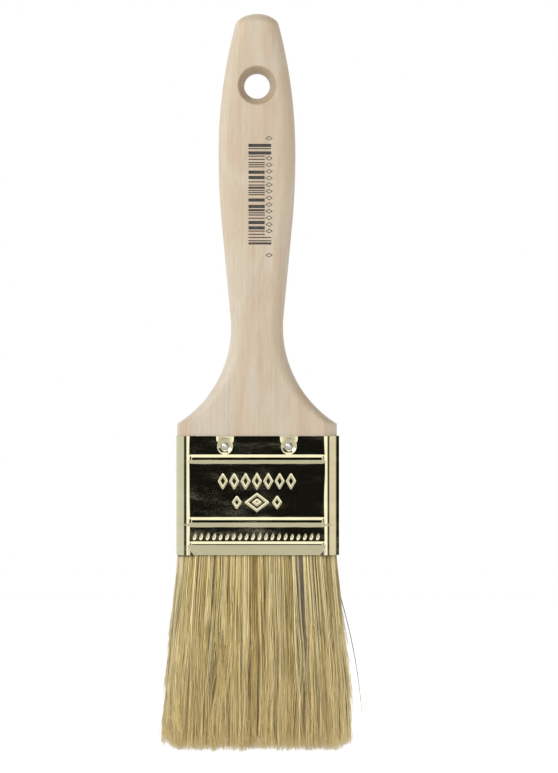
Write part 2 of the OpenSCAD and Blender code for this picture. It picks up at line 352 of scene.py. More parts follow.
def make_piece(name, points_mm, faces):
    """A smooth object from points in millimetres and a list of face arrays, each of one face size."""
    mesh = bpy.data.meshes.new(name)
    points = np.asarray(points_mm, np.float32).reshape(-1, 3) * MM
    corners = np.concatenate([np.asarray(f, np.int32).ravel() for f in faces])
    sizes = np.concatenate([np.full(len(f), np.shape(f)[1], np.int32) for f in faces])
    mesh.vertices.add(len(points))
    mesh.vertices.foreach_set("co", points.ravel())
    mesh.loops.add(len(corners))
    mesh.loops.foreach_set("vertex_index", corners)
    mesh.polygons.add(len(sizes))
    loop_starts = np.concatenate([[0], np.cumsum(sizes)[:-1]])
    mesh.polygons.foreach_set("loop_start", loop_starts.astype(np.int32))
    mesh.polygons.foreach_set("use_smooth", np.ones(len(sizes), bool))
    mesh.update()
    mesh.validate()
    piece = bpy.data.objects.new(name, mesh)
    bpy.context.scene.collection.objects.link(piece)
    return piece


def grid_faces(rows, columns, close_rows=False, close_columns=False):
    """Quads over a grid of points that is numbered row by row, joined end to end where asked."""
    row = np.arange(rows if close_rows else rows - 1)
    column = np.arange(columns if close_columns else columns - 1)
    i, j = np.meshgrid(row, column, indexing="ij")
    next_i, next_j = (i + 1) % rows, (j + 1) % columns
    here, above = i * columns, next_i * columns
    return np.stack([here + j, here + next_j, above + next_j, above + j], -1).reshape(-1, 4)


def full_turn(steps):
    """Angles spaced evenly once round."""
    return np.linspace(0.0, 2.0 * math.pi, steps, endpoint=False)


def tube_faces(rows, columns):
    """The sides of a closed tube on a grid of points, and its two end caps."""
    first = np.arange(columns)
    caps = np.array([first[::-1], (rows - 1) * columns + first])
    return grid_faces(rows, columns, close_columns=True), caps


def make_joined_piece(name, parts):
    """One object out of several (points, faces) parts."""
    points, faces, start = [], [], 0
    for part_points, part_faces in parts:
        points.append(np.asarray(part_points).reshape(-1, 3))
        faces += [np.asarray(f) + start for f in part_faces]
        start += len(points[-1])
    return make_piece(name, np.concatenate(points), faces)


def dress(piece, material):
    """Gives a piece, or a CAD node that keeps its own shape, its only material."""
    piece.data.materials.clear()
    piece.data.materials.append(material)


def smoothstep(low, high, x):
    """A smooth rise from 0 at low to 1 at high, or a fall where low is the higher one."""
    t = np.clip((x - low) / (high - low), 0.0, 1.0)
    return t * t * (3.0 - 2.0 * t)


# ------------------------ material helpers

# Where a Mix node keeps its sockets for colours: factor, first and second colour, then the result
MIX_COLOUR_INPUTS = (0, 6, 7)
MIX_COLOUR_OUTPUT = 2

WHITE = (1.0, 1.0, 1.0, 1.0)


def new_material(name):
    """A material with one Principled shader. Returns (material, tree, shader)."""
    material = bpy.data.materials.new(name)
    material.use_nodes = True
    tree = material.node_tree
    tree.nodes.clear()
    output = tree.nodes.new("ShaderNodeOutputMaterial")
    shader = tree.nodes.new("ShaderNodeBsdfPrincipled")
    tree.links.new(shader.outputs["BSDF"], output.inputs["Surface"])
    return material, tree, shader


def set_inputs(node, values):
    """Gives the named sockets of a node fixed values."""
    for name, value in values.items():
        node.inputs[name].default_value = value


def stretched_noise(tree, scale, detail=3.0, roughness=0.5, distortion=0.0):
    """Noise whose grain is scaled along each axis of the piece, per metre."""
    coordinates = tree.nodes.new("ShaderNodeTexCoord")
    mapping = tree.nodes.new("ShaderNodeMapping")
    set_inputs(mapping, {"Scale": scale})
    noise = tree.nodes.new("ShaderNodeTexNoise")
    set_inputs(noise, {"Scale": 1.0, "Detail": detail, "Roughness": roughness, "Distortion": distortion})
    tree.links.new(coordinates.outputs["Object"], mapping.inputs["Vector"])
    tree.links.new(mapping.outputs["Vector"], noise.inputs["Vector"])
    return noise.outputs["Fac"]


def ramp(tree, value, stops):
    """Colours along a value: stops are (place, colour) pairs."""
    node = tree.nodes.new("ShaderNodeValToRGB")
    elements = node.color_ramp.elements
    while len(elements) < len(stops):
        elements.new(1.0)
    for element, (place, colour) in zip(elements, stops):
        element.position = place
        element.color = (*colour, 1.0)
    tree.links.new(value, node.inputs["Fac"])
    return node.outputs["Color"]


def grey(level):
    """A colour with the same level in each channel."""
    return (level, level, level)


def remap(tree, value, low, high, to_low, to_high):
    """A value moved from one range to another, and kept within it."""
    node = tree.nodes.new("ShaderNodeMapRange")
    set_inputs(node, {"From Min": low, "From Max": high, "To Min": to_low, "To Max": to_high})
    tree.links.new(value, node.inputs["Value"])
    return node.outputs["Result"]


def math_node(tree, operation, *values):
    """A Math node fed with sockets or numbers."""
    node = tree.nodes.new("ShaderNodeMath")
    node.operation = operation
    for socket, value in zip(node.inputs, values):
        if isinstance(value, (int, float)):
            socket.default_value = value
        else:
            tree.links.new(value, socket)
    return node.outputs["Value"]


def blend_colour(tree, factor, first, second, mode="MIX"):
    """Mixes two colours, each a socket or a colour, by a socket or a number."""
    node = tree.nodes.new("ShaderNodeMix")
    node.data_type = "RGBA"
    node.blend_type = mode
    factor_socket, first_socket, second_socket = (node.inputs[index] for index in MIX_COLOUR_INPUTS)
    for socket, value in ((factor_socket, factor), (first_socket, first), (second_socket, second)):
        if isinstance(value, (int, float)):
            socket.default_value = value
        elif isinstance(value, tuple):
            socket.default_value = (*value, 1.0)
        else:
            tree.links.new(value, socket)
    return node.outputs[MIX_COLOUR_OUTPUT]


def bump(tree, shader, height, strength, distance_mm):
    """Roughens the shader's surface by a height socket."""
    node = tree.nodes.new("ShaderNodeBump")
    set_inputs(node, {"Strength": strength, "Distance": distance_mm * MM})
    tree.links.new(height, node.inputs["Height"])
    tree.links.new(node.outputs["Normal"], shader.inputs["Normal"])


def surface(tree, shader, colour, roughness):
    """Feeds the shader its colour and roughness."""
    tree.links.new(colour, shader.inputs["Base Color"])
    tree.links.new(roughness, shader.inputs["Roughness"])


def attribute(tree, name):
    """A number that each point of the mesh carries."""
    node = tree.nodes.new("ShaderNodeAttribute")
    node.attribute_name = name
    return node.outputs["Fac"]


def sum_of_squares(tree, first, second):
    """The square of the distance that two sockets span at right angles."""
    squares = [math_node(tree, "MULTIPLY", value, value) for value in (first, second)]
    return math_node(tree, "ADD", *squares)


def axes_of(tree, space):
    """The x, y and z sockets of a texture coordinate."""
    coordinates = tree.nodes.new("ShaderNodeTexCoord")
    split = tree.nodes.new("ShaderNodeSeparateXYZ")
    tree.links.new(coordinates.outputs[space], split.inputs["Vector"])
    return (split.outputs[axis] for axis in "XYZ")


# ------------------------ materials

def inside_hole(tree):
    """1 within the hang hole's countersinks, and 0 on the faces around them."""
    x, _, z = axes_of(tree, "Object")
    reach = math_node(tree, "SQRT", sum_of_squares(tree, x, z))
    return remap(tree, reach, HOLE_TONE_FROM * MM, HOLE_TONE_TO * MM, 1.0, 0.0)


def wood_material():
    """Pale sanded wood with a wavy figure, a fine upright grain and short dark pores.

    The bare cut inside the hang hole is browner than the sanded faces, and darker still as painted shade
    in the hole.
    """
    material, tree, shader = new_material("sanded_wood")
    figure = stretched_noise(tree, (95, 95, 21), detail=3.0, roughness=0.55, distortion=1.1)
    streaks = stretched_noise(tree, (900, 900, 16), detail=4.0, roughness=0.6, distortion=0.3)
    fibres = stretched_noise(tree, (4200, 4200, 190), detail=3.0)
    pores = stretched_noise(tree, (2600, 2600, 240), detail=1.0)
    ground = ramp(tree, figure, [
        (0.34, (0.465, 0.39, 0.30)),
        (0.48, (0.445, 0.355, 0.25)),
        (0.58, (0.44, 0.335, 0.235)),
        (0.68, (0.42, 0.305, 0.215)),
    ])
    grain = ramp(tree, streaks, [(0.3, grey(0.92)), (0.5, grey(1.0)), (0.75, grey(1.04))])
    fibre_tone = ramp(tree, fibres, [(0.3, grey(0.93)), (0.7, grey(1.04))])
    pore_mask = remap(tree, pores, 0.66, 0.74, 0.0, 0.45)
    colour = blend_colour(tree, 1.0, ground, grain, "MULTIPLY")
    colour = blend_colour(tree, 1.0, colour, fibre_tone, "MULTIPLY")
    colour = blend_colour(tree, pore_mask, colour, (0.36, 0.26, 0.17))
    # Browner bare cut, darkened further as painted shade inside the hang hole
    cut_and_shade_colour = blend_colour(tree, 1.0, colour, (0.84, 0.80, 0.74), "MULTIPLY")
    colour = blend_colour(tree, inside_hole(tree), colour, cut_and_shade_colour)
    surface(tree, shader, colour, remap(tree, fibres, 0.3, 0.7, 0.42, 0.54))
    set_inputs(shader, {"Specular IOR Level": 0.5})
    bump(tree, shader, fibres, 0.25, 0.05)
    return material


def metal_material(name, colour, roughness):
    """Polished plated steel, with faint smears and rolling marks that dull it in places."""
    material, tree, shader = new_material(name)
    smears = stretched_noise(tree, (90, 90, 260), detail=5.0, roughness=0.6)
    marks = stretched_noise(tree, (500, 500, 5200), detail=2.0)
    darker = tuple(0.9 * channel for channel in colour)
    tone = ramp(tree, smears, [(0.35, darker), (0.65, colour)])
    smeared = remap(tree, smears, 0.45, 0.75, 0.0, 1.0)
    dulling_and_painted_shade = math_node(tree, "MULTIPLY", smeared, remap(tree, marks, 0.3, 0.7, 0.03, 0.13))
    surface(tree, shader, tone, math_node(tree, "ADD", dulling_and_painted_shade, roughness))
    set_inputs(shader, {"Metallic": 1.0})
    bump(tree, shader, marks, 0.06, 0.01)
    return material


def hair_material():
    """Natural bristle: each hair has its own tone and greyness, pales downwards, and greys at its tip."""
    material, tree, shader = new_material("natural_bristle")
    along = attribute(tree, "along")
    mottle = stretched_noise(tree, (2500, 2500, 190), detail=2.0)
    mottled = remap(tree, mottle, 0.3, 0.7, -0.11, 0.11)
    tone = math_node(tree, "ADD", attribute(tree, "tone"), mottled)
    golden = ramp(tree, tone, [
        (0.0, (0.13, 0.07, 0.02)),
        (0.25, (0.35, 0.23, 0.06)),
        (0.6, (0.61, 0.47, 0.165)),
        (1.0, (0.79, 0.68, 0.39)),
    ])
    smoky = ramp(tree, tone, [
        (0.0, (0.03, 0.024, 0.022)),
        (0.5, (0.16, 0.13, 0.11)),
        (1.0, (0.52, 0.47, 0.40)),
    ])
    colour = blend_colour(tree, attribute(tree, "greyness"), golden, smoky)
    pale = remap(tree, along, 0.25, 1.0, 0.0, 0.52)
    colour = blend_colour(tree, pale, colour, (0.92, 0.715, 0.335))
    tip = remap(tree, along, 0.975, 1.0, 0.0, 0.6)
    colour = blend_colour(tree, tip, colour, (0.66, 0.61, 0.53))
    surface(tree, shader, colour, remap(tree, mottle, 0.3, 0.7, 0.42, 0.6))
    set_inputs(shader, {"Specular IOR Level": 0.4})
    return material


def packed_bristle_material():
    """The butt ends of the hairs, packed tight."""
    material, tree, shader = new_material("packed_bristle")
    strands = stretched_noise(tree, (4200, 4200, 60), detail=2.0)
    colour = ramp(tree, strands, [(0.35, (0.30, 0.19, 0.08)), (0.65, (0.62, 0.46, 0.22))])
    surface(tree, shader, colour, remap(tree, strands, 0.3, 0.7, 0.5, 0.65))
    bump(tree, shader, strands, 0.6, 0.15)
    return material


def resin_material():
    """Cured amber resin, a little cloudy."""
    material, tree, shader = new_material("amber_resin")
    clouds = stretched_noise(tree, (300, 300, 300), detail=4.0)
    colour = ramp(tree, clouds, [(0.3, (0.30, 0.15, 0.04)), (0.7, (0.50, 0.29, 0.10))])
    surface(tree, shader, colour, remap(tree, clouds, 0.3, 0.7, 0.18, 0.34))
    bump(tree, shader, clouds, 0.2, 0.1)
    return material


def ink_material():
    """Worn black ink, thin enough in spots to let the wood show."""
    material, tree, shader = new_material("stamped_ink")
    wear = stretched_noise(tree, (3000, 3000, 1400), detail=3.0, roughness=0.7)
    colour = ramp(tree, wear, [
        (0.45, (0.014, 0.011, 0.009)),
        (0.62, (0.06, 0.05, 0.04)),
        (0.78, (0.30, 0.24, 0.18)),
    ])
    surface(tree, shader, colour, remap(tree, wear, 0.3, 0.7, 0.5, 0.7))
    return material


def floor_material():
    """Plain pale studio floor, lit from beneath as a light table is."""
    material, tree, shader = new_material("pale_floor")
    grain = stretched_noise(tree, (40, 40, 40), detail=2.0)
    colour = ramp(tree, grain, [(0.3, grey(0.86)), (0.7, grey(0.88))])
    tree.links.new(colour, shader.inputs["Base Color"])
    set_inputs(shader, {"Roughness": 0.9, "Specular IOR Level": 0.1})
    set_inputs(shader, {"Emission Color": WHITE, "Emission Strength": 0.3})
    return material


# ------------------------ handle

def arc_drop(radius, distance):
    """How far an arc has fallen from its crest, at a distance along the crest's tangent."""
    return radius - math.sqrt(radius * radius - distance * distance)


FLARE_RISE = SHOULDER_HALF_W - NECK_HALF_W
FLARE_RUN = NECK_Z - SHOULDER_Z
FLARE_R = (FLARE_RISE ** 2 + FLARE_RUN ** 2) / (2 * FLARE_RISE)
TAPER_COS = math.cos(TAPER_ANGLE)
GRIP_DROP = (SWELL_Z - NECK_Z) * math.tan(TAPER_ANGLE) - (SWELL_HALF_W - NECK_HALF_W)
LOWER_SWELL_R = GRIP_DROP * TAPER_COS / (1 - TAPER_COS) - FLARE_R
TAPER_TOP_Z = SWELL_Z - LOWER_SWELL_R * math.sin(TAPER_ANGLE)
TAPER_BOTTOM_Z = NECK_Z + FLARE_R * math.sin(TAPER_ANGLE)


def outline_half_w(z):
    """Half width of the handle at a height, without the dome at its top."""
    if z > SWELL_Z:
        return SWELL_HALF_W - arc_drop(UPPER_SWELL_R, z - SWELL_Z)
    if z > TAPER_TOP_Z:
        return SWELL_HALF_W - arc_drop(LOWER_SWELL_R, SWELL_Z - z)
    if z > TAPER_BOTTOM_Z:
        foot = NECK_HALF_W + arc_drop(FLARE_R, TAPER_BOTTOM_Z - NECK_Z)
        return foot + (z - TAPER_BOTTOM_Z) * math.tan(TAPER_ANGLE)
    if z > SHOULDER_Z:
        return NECK_HALF_W + arc_drop(FLARE_R, abs(z - NECK_Z))
    return SHOULDER_HALF_W


def dome_share(z):
    """Share of the full section that is left at a height inside the dome."""
    into_dome = (z - HANDLE_TOP_Z + DOME_H) / DOME_H
    return 1.0 if into_dome <= 0 else math.sqrt(max(0.0, 1.0 - into_dome ** 2))


def crown(z):
    """How much the handle's faces are crowned at a height: most on the grip, least at the shoulder."""
    return SHOULDER_CROWN + (GRIP_CROWN - SHOULDER_CROWN) * float(smoothstep(SHOULDER_Z, NECK_Z, z))


def face_y(x, z):
    """Where the front face of the handle lies at a place."""
    return -HANDLE_HALF_T * (1.0 - crown(z) * (x / outline_half_w(z)) ** 2)


def handle_section(z):
    """One closed section of the handle: two crowned faces joined by round edges."""
    share = dome_share(z)
    half_w = outline_half_w(z) * share
    half_t = HANDLE_HALF_T * share
    radius = min(HANDLE_EDGE_R, THIN_EDGE_SHARE * half_t)
    across = np.linspace(-1.0, 1.0, FACE_POINTS)[1:-1] * (half_w - radius)
    turn = np.radians(np.linspace(0.0, 90.0, EDGE_POINTS))
    points = []
    for corner in range(4):
        angles = turn + math.pi / 2 * corner
        x_side = 1 if corner in (0, 3) else -1
        y_side = 1 if corner < 2 else -1
        x = x_side * (half_w - radius) + radius * np.cos(angles)
        y = y_side * (half_t - radius) + radius * np.sin(angles)
        points += zip(x, y)
        if corner == 0:
            points += [(x, half_t) for x in across[::-1]]
        if corner == 2:
            points += [(x, -half_t) for x in across]
    x, y = np.array(points).T
    y = y * (1.0 - crown(z) * (x / half_w) ** 2)
    return np.column_stack([x, y, np.full(len(x), z)])


def handle_heights():
    """Heights of the handle's sections, closest together where the outline turns fastest."""
    dome_turn = np.radians(np.linspace(*DOME_ANGLES, DOME_ROWS))
    dome = HANDLE_TOP_Z - DOME_H * (1.0 - np.sin(dome_turn))
    grip = np.arange(NECK_Z, HANDLE_TOP_Z - DOME_H, GRIP_STEP)
    flare = np.arange(SHOULDER_Z, NECK_Z, FLARE_STEP)
    butt = [BUTT_END_Z, FERRULE_TOP_Z] + [SHOULDER_Z - drop for drop in SHOULDER_DROPS]
    return np.concatenate([butt, flare, grip, dome])


def lathe_y(profile, centre=(0.0, 0.0)):
    """Points and faces of a closed solid turned about the Y direction at an (x, z) centre.

    The profile holds (radius, y) points, in order of rising y.
    """
    radius, y = np.array(profile, float).T
    turn = full_turn(LATHE_STEPS)
    x = centre[0] + radius[:, None] * np.cos(turn)
    z = centre[1] + radius[:, None] * np.sin(turn)
    points = np.stack([x, np.broadcast_to(y[:, None], x.shape), z], -1)
    sides, caps = tube_faces(len(profile), LATHE_STEPS)
    return points, [sides[:, ::-1], caps]


def mirrored(profile):
    """A (radius, y) profile turned over to the other face, still in order of rising y."""
    return [(radius, -y) for radius, y in reversed(profile)]


def hole_profile():
    """Profile of the hang hole with its two countersinks and softened rims, as (radius, y) points."""
    slope = (COUNTERSINK_R - HOLE_R) / COUNTERSINK_DEPTH
    half = [
        (HOLE_R, HANDLE_HALF_T - COUNTERSINK_DEPTH),
        (COUNTERSINK_R - slope * RIM_SOFT, HANDLE_HALF_T - RIM_SOFT),
        (COUNTERSINK_R, HANDLE_HALF_T - RIM_DROP),
        (COUNTERSINK_R + RIM_FLARE, HANDLE_HALF_T + RIM_RISE),
        (COUNTERSINK_R + RIM_FLARE, HANDLE_HALF_T + CUT_PAST_FACE),
    ]
    return mirrored(half) + half


def dimple_profile():
    """Profile of the dent that the ferrule's dimple presses into the wood, as (radius, y) points."""
    floor = FERRULE_HALF_T - DIMPLE_DEPTH - SHEET_T - DENT_GAP
    wide_r = DIMPLE_R + DENT_SPREAD
    rim = floor + DIMPLE_DEPTH + DENT_RISE
    return [(DIMPLE_FLOOR_R, floor), (wide_r, rim), (wide_r, HANDLE_HALF_T + CUT_PAST_FACE)]


def handle_cutter():
    """Everything that is cut out of the wood: the hang hole, and a dent at each nail."""
    parts = [lathe_y(hole_profile())]
    for x in (-NAIL_X, NAIL_X):
        parts.append(lathe_y(dimple_profile(), (x, NAIL_Z)))
        parts.append(lathe_y(mirrored(dimple_profile()), (x, NAIL_Z)))
    return make_joined_piece("handle_cutter", parts)


def cut_away(piece, cutter):
    """Cuts a solid out of a piece for good, and drops the cutter."""
    modifier = piece.modifiers.new("cut", "BOOLEAN")
    modifier.operation = "DIFFERENCE"
    modifier.object = cutter
    modifier.solver = "EXACT"
    depsgraph = bpy.context.evaluated_depsgraph_get()
    cut_mesh = bpy.data.meshes.new_from_object(piece.evaluated_get(depsgraph))
    piece.modifiers.clear()
    piece.data = cut_mesh
    bpy.data.objects.remove(cutter)


def make_handle(material):
    """The wood, drawn from its butt to its dome, with the hang hole and the dents cut out."""
    sections = np.array([handle_section(z) for z in handle_heights()])
    rows, columns, _ = sections.shape
    piece = make_piece("wooden_handle", sections, tube_faces(rows, columns))
    cut_away(piece, handle_cutter())
    piece.data.polygons.foreach_set("use_smooth", [True] * len(piece.data.polygons))
    piece.data.set_sharp_from_angle(angle=math.radians(35))
    dress(piece, material)
    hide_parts("handle")
    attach(piece, "brush_body")


# ------------------------ printed stripes

def print_slip(corners, steps):
    """A closed slip of ink that follows the crowned face, a hair proud of the wood.

    The corners are four (x, z) points, anticlockwise as the camera sees them. The slip is
    divided along its first and third sides.
    """
    low = np.linspace(corners[0], corners[1], steps + 1)
    high = np.linspace(corners[3], corners[2], steps + 1)
    rows = []
    for line, lift in ((low, -INK_SUNK), (low, INK_PROUD), (high, INK_PROUD), (high, -INK_SUNK)):
        rows.append([(x, face_y(x, z) - lift, z) for x, z in line])
    count = steps + 1
    start = np.arange(4) * count
    ends = np.array([start[::-1], start + steps])
    return np.array(rows), [grid_faces(4, count, close_rows=True), ends]


def stripe_slips(rng):
    """Stripes of random widths, which carry no code. The ones near both ends are longer."""
    slips = []
    end_z = STRIPE_TOP_Z - STRIPE_BLOCK_H
    z = STRIPE_TOP_Z
    while z > end_z:
        low = max(z - STRIPE_UNIT * rng.choice(STRIPE_WIDTHS), end_z - STRIPE_UNIT)
        guard = min(STRIPE_TOP_Z - low, z - end_z) < STRIPE_GUARD_H
        right = LONG_STRIPE_RIGHT_X if guard else STRIPE_RIGHT_X
        corners = [(STRIPE_LEFT_X, low), (right, low), (right, z), (STRIPE_LEFT_X, z)]
        slips.append(print_slip(corners, STRIPE_STEPS))
        z = low - STRIPE_UNIT * rng.choice(STRIPE_GAPS)
    return slips


def lozenge_slips(x, z):
    """The four sides of a small open lozenge."""
    half_w, half_h = CHECK_HALF
    outer = [(x - half_w, z), (x, z - half_h), (x + half_w, z), (x, z + half_h)]
    share = 1.0 - CHECK_LINE / min(CHECK_HALF)
    inner = [(x + share * (px - x), z + share * (pz - z)) for px, pz in outer]
    slips = []
    for i in range(4):
        j = (i + 1) % 4
        slips.append(print_slip([outer[i], outer[j], inner[j], inner[i]], 1))
    return slips


def make_print(material):
    """A plain block of stripes with a column of small lozenges beside it, in place of a printed code."""
    slips = stripe_slips(np.random.default_rng(SEED))
    low = STRIPE_TOP_Z - STRIPE_BLOCK_H + STRIPE_GUARD_H
    high = STRIPE_TOP_Z - STRIPE_GUARD_H
    pitch = (high - low) / CHECK_COUNT
    heights = [low + (index + 0.5) * pitch for index in range(CHECK_COUNT)]
    heights += [STRIPE_TOP_Z - drop for drop in CHECK_END_DROPS]
    for z in heights:
        slips += lozenge_slips(CHECK_X, z)
    piece = make_joined_piece("printed_stripes", slips)
    dress(piece, material)
    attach(piece, "brush_body")


# ------------------------ ferrule

def ferrule_columns():
    """Columns of the ferrule's sheet, once round from the front's left end.

    Returns the x and y of each column in the plain section, and the angle that it faces.
    """
    corner_x = FERRULE_HALF_W - FERRULE_R
    corner_y = FERRULE_HALF_T - FERRULE_R
    x, y, angle = [], [], []

    def straight(start, end, steps, facing):
        share = np.linspace(0.0, 1.0, steps, endpoint=False)
        x.extend(start[0] + share * (end[0] - start[0]))
        y.extend(start[1] + share * (end[1] - start[1]))
        angle.extend([facing] * steps)

    def corner(centre, first):
        turn = first + np.linspace(0.0, 90.0, CORNER_COLUMNS, endpoint=False)
        x.extend(centre[0] + FERRULE_R * np.cos(np.radians(turn)))
        y.extend(centre[1] + FERRULE_R * np.sin(np.radians(turn)))
        angle.extend(turn)

    for way, columns, facing in ((1, FRONT_COLUMNS, -90.0), (-1, BACK_COLUMNS, 90.0)):
        end_x, end_y = way * corner_x, way * corner_y
        far_x, far_y = way * FERRULE_HALF_W, way * FERRULE_HALF_T
        straight((-end_x, -far_y), (end_x, -far_y), columns, facing)
        corner((end_x, -end_y), facing)
        straight((far_x, -end_y), (far_x, end_y), SIDE_COLUMNS, facing + 90.0)
        corner((end_x, end_y), facing + 90.0)
    return np.array(x), np.array(y), np.radians(np.array(angle))


def ferrule_rows():
    """Heights of the outer sheet's rows from the mouth up, closest where it is formed finest."""
    bead_1_foot, bead_1_top = BEAD_1[0] - BEAD_1[2], BEAD_1[0] + BEAD_1[1]
    bead_2_foot, bead_2_top = BEAD_2[0] - BEAD_2[2], BEAD_2[0] + BEAD_2[1]
    lip_top = LIP_CREST_Z + LIP_UPPER_RUN
    motif_low = CENTRE_LOZENGE_Z - CENTRE_LOZENGE_HALF[1] - FINE_MARGIN
    motif_high = LOZENGE_ROW_Z + LOZENGE_HALF[1] + FINE_MARGIN
    zone_tops_and_steps = [
        (LIP_CREST_Z, 0.3),
        (lip_top, 0.11),
        (bead_2_foot, 0.2),
        (bead_2_top, 0.13),
        (motif_low, 0.6),
        (motif_high, 0.18),
        (bead_1_foot, 0.6),
        (bead_1_top, 0.12),
        (FERRULE_TOP_Z, 0.3),
    ]
    heights = []
    low = MOUTH_Z
    for high, step in zone_tops_and_steps:
        heights.append(np.linspace(low, high, math.ceil((high - low) / step), endpoint=False))
        low = high
    return np.append(np.concatenate(heights), FERRULE_TOP_Z)


def flank(distance, run):
    """Height of a bead's flank: 1 on its flat crest, falling to 0 at its foot."""
    return smoothstep(run, BEAD_CREST_HALF, distance)


def bead_height(z):
    """The two full beads, and the upper half of the one that the lip starts from."""
    height = np.zeros_like(z)
    for crest, upper, lower in (BEAD_1, BEAD_2):
        height = np.maximum(height, np.where(z > crest, flank(z - crest, upper), flank(crest - z, lower)))
    lip = np.where(z > LIP_CREST_Z, flank(z - LIP_CREST_Z, LIP_UPPER_RUN), 1.0)
    return np.maximum(height, lip)


def lip_taper(z):
    """Share of the lip's full inset at a height: none at its crest, and all of it at the mouth."""
    return np.clip((LIP_CREST_Z - z) / (LIP_CREST_Z - MOUTH_Z), 0.0, 1.0)


def turn_in_lip(out, u, z):
    """A face of the sheet with its lip turned in. A slanted crease joins each end to the corner."""
    end = -LIP_END_SLOPE * np.clip(LIP_END_X - np.abs(u), 0.0, None)
    return np.maximum(out - LIP_INSET * lip_taper(z), end)


def knurl_depth(u, z):
    """Slanted dents in a row: each deepens and widens downwards, and ends in a steep pointed foot."""
    up = (z - KNURL_Z) / KNURL_HALF_H
    place = (u - KNURL_SLANT * up) / KNURL_PITCH
    middle = np.floor(place) + 0.5
    aside = np.abs(place - middle) * KNURL_PITCH
    fall = np.clip((1.0 - up + KNURL_FOOT_POINT * aside / KNURL_FOOT_HALF_W) / 2.0, 0.0, 1.0)
    deepening = (fall / (1.0 - KNURL_FOOT_SHARE)) ** 3
    foot = (1.0 - fall) / KNURL_FOOT_SHARE
    shape = np.clip(np.minimum(deepening, foot), 0.0, 1.0)
    half_w = KNURL_TOP_HALF_W + (KNURL_FOOT_HALF_W - KNURL_TOP_HALF_W) * fall
    across = np.clip(1.0 - aside / half_w, 0.0, 1.0)
    return shape * across * np.where(np.abs(middle) * KNURL_PITCH < KNURL_REACH, 1.0, 0.0)


def dimple_depth(u, z):
    """Conical dimples round the nails, and the rim of the sheet pulled in above them."""
    depth = np.zeros_like(u)
    for nail_x in (-NAIL_X, NAIL_X):
        reach = np.hypot(u - nail_x, z - NAIL_Z)
        cone = (DIMPLE_R - reach) / (DIMPLE_R - DIMPLE_FLOOR_R)
        depth = np.maximum(depth, DIMPLE_DEPTH * np.clip(cone, 0.0, 1.0))
        up = np.clip((z - RIM_PULL_START_Z) / (FERRULE_TOP_Z - RIM_PULL_START_Z), 0.0, 1.0)
        beside = smoothstep(RIM_PULL_END, RIM_PULL_FULL, np.abs(u - nail_x))
        depth = np.maximum(depth, RIM_PULL * up * beside)
    return depth


def lozenge_line(u, z, centre, half):
    """1 on the outline of a lozenge, fading to 0 beside it."""
    half_w, half_h = half
    inside = np.abs(u - centre[0]) / half_w + np.abs(z - centre[1]) / half_h - 1.0
    distance = np.abs(inside) * half_w * half_h / math.hypot(half_w, half_h)
    return smoothstep(EMBOSS_LINE, EMBOSS_CREST, distance)


def emboss_height(u, z):
    """The ornament: a row of lozenges, and below it a double one with a small one at each side."""
    half_row = (LOZENGE_COUNT - 1) / 2 * LOZENGE_PITCH
    row_x = np.linspace(-half_row, half_row, LOZENGE_COUNT)
    lozenges = [((x, LOZENGE_ROW_Z), LOZENGE_HALF) for x in row_x]
    lozenges += [((x, CENTRE_LOZENGE_Z), SIDE_LOZENGE_HALF) for x in (-SIDE_LOZENGE_X, SIDE_LOZENGE_X)]
    for share in CENTRE_LOZENGE_SHARES:
        lozenges.append(((0.0, CENTRE_LOZENGE_Z), tuple(share * size for size in CENTRE_LOZENGE_HALF)))
    return np.max([lozenge_line(u, z, centre, half) for centre, half in lozenges], axis=0)


def sheet_waviness(u, z):
    """The slight unevenness of thin sheet: broad swells, and finer ones that run aslant."""
    across = np.sin(WAVE_TURNS[0] * u + WAVE_STARTS[0])
    broad = across * np.sin(WAVE_TURNS[1] * z + WAVE_STARTS[1])
    fine = np.sin(FINE_WAVE_TURNS[0] * u + FINE_WAVE_TURNS[1] * z)
    return WAVE_H * broad + FINE_WAVE_H * fine


def ferrule_sheet(z_rows, inset, formed=True):
    """Rows of points of one side of the sheet, sunk by an inset from its outer side.

    The inner side is left unformed: it has no beads, knurls or ornament.
    """
    x, y, angle = ferrule_columns()
    z, _ = np.meshgrid(z_rows, x, indexing="ij")
    normal_x, normal_y = np.cos(angle), np.sin(angle)
    on_face = np.where(np.isclose(np.abs(normal_y), 1.0), 1.0, 0.0)
    on_front = np.where(normal_y < 0, on_face, 0.0)
    u = np.broadcast_to(np.where(normal_y < 0, x, -x), z.shape)
    out = np.zeros_like(z)
    if formed:
        bead_share = smoothstep(BEAD_END_X, BEAD_FULL_X, np.abs(x))
        proud = BEAD_PROUD_SIDE + (BEAD_PROUD - BEAD_PROUD_SIDE) * bead_share
        out = bead_height(z) * proud * (1.0 - lip_taper(z))
    out = np.where(on_face > 0, turn_in_lip(out, u, z) - dimple_depth(u, z), out)
    if formed:
        out = out - on_face * KNURL_DEPTH * knurl_depth(u, z)
        out = out + on_front * EMBOSS_H * emboss_height(u, z)
        out = out + on_face * sheet_waviness(u, z)
    return np.stack([x + normal_x * (out - inset), y + normal_y * (out - inset), z], -1)


def finish_ferrule_piece(piece, material):
    """Everything that the sheet and its seam have in common."""
    dress(piece, material)
    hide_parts("ferrule")
    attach(piece, "brush_body")


def make_seam(material):
    """The lapped joint of the sheet: a flat strip that stands proud on the right side."""
    outer_x = FERRULE_HALF_W + SEAM_PROUD
    half = [
        (FERRULE_HALF_W - SEAM_ROOT, SEAM_HALF_W),
        (outer_x - SEAM_CHAMFER, SEAM_HALF_W),
        (outer_x, SEAM_HALF_W - SEAM_CHAMFER),
    ]
    outline = np.array([(x, -y) for x, y in half] + half[::-1])
    count = len(outline)
    rows = [np.column_stack([outline, np.full(count, z)]) for z in (MOUTH_Z, FERRULE_TOP_Z)]
    piece = make_piece("lapped_seam", np.array(rows), tube_faces(2, count))
    piece.data.set_sharp_from_angle(angle=math.radians(20))
    finish_ferrule_piece(piece, material)


